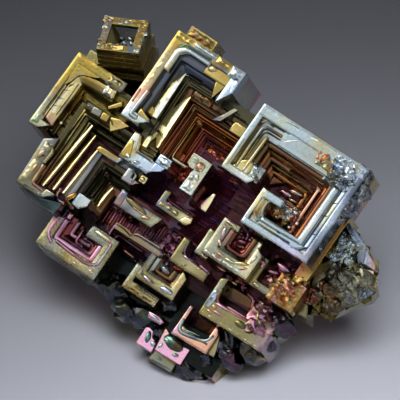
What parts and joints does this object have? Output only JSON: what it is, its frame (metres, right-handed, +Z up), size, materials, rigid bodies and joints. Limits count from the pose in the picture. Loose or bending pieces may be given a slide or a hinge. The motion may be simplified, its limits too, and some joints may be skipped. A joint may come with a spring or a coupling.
{
  "type": "bismuth hopper crystal",
  "caption": "Display specimen of lab-grown bismuth: stepped square hopper crystals grown together into one rough block that rests on a small flat foot.",
  "frame": {"origin": "middle of the plan, on the plane of the flat foot", "axes": "+Z up, out of the foot; -Y is the side the open hoppers face; +X to the right as seen from that side"},
  "size_m": [0.0494, 0.0374, 0.042],
  "materials": {
    "oxidised_bismuth": "bright cast metal under a thin oxide film of gold, pink, silver-blue and green"
  },
  "bodies": {
    "root": {"bismuth_crystal": "oxidised_bismuth"}
  },
  "joints": []
}
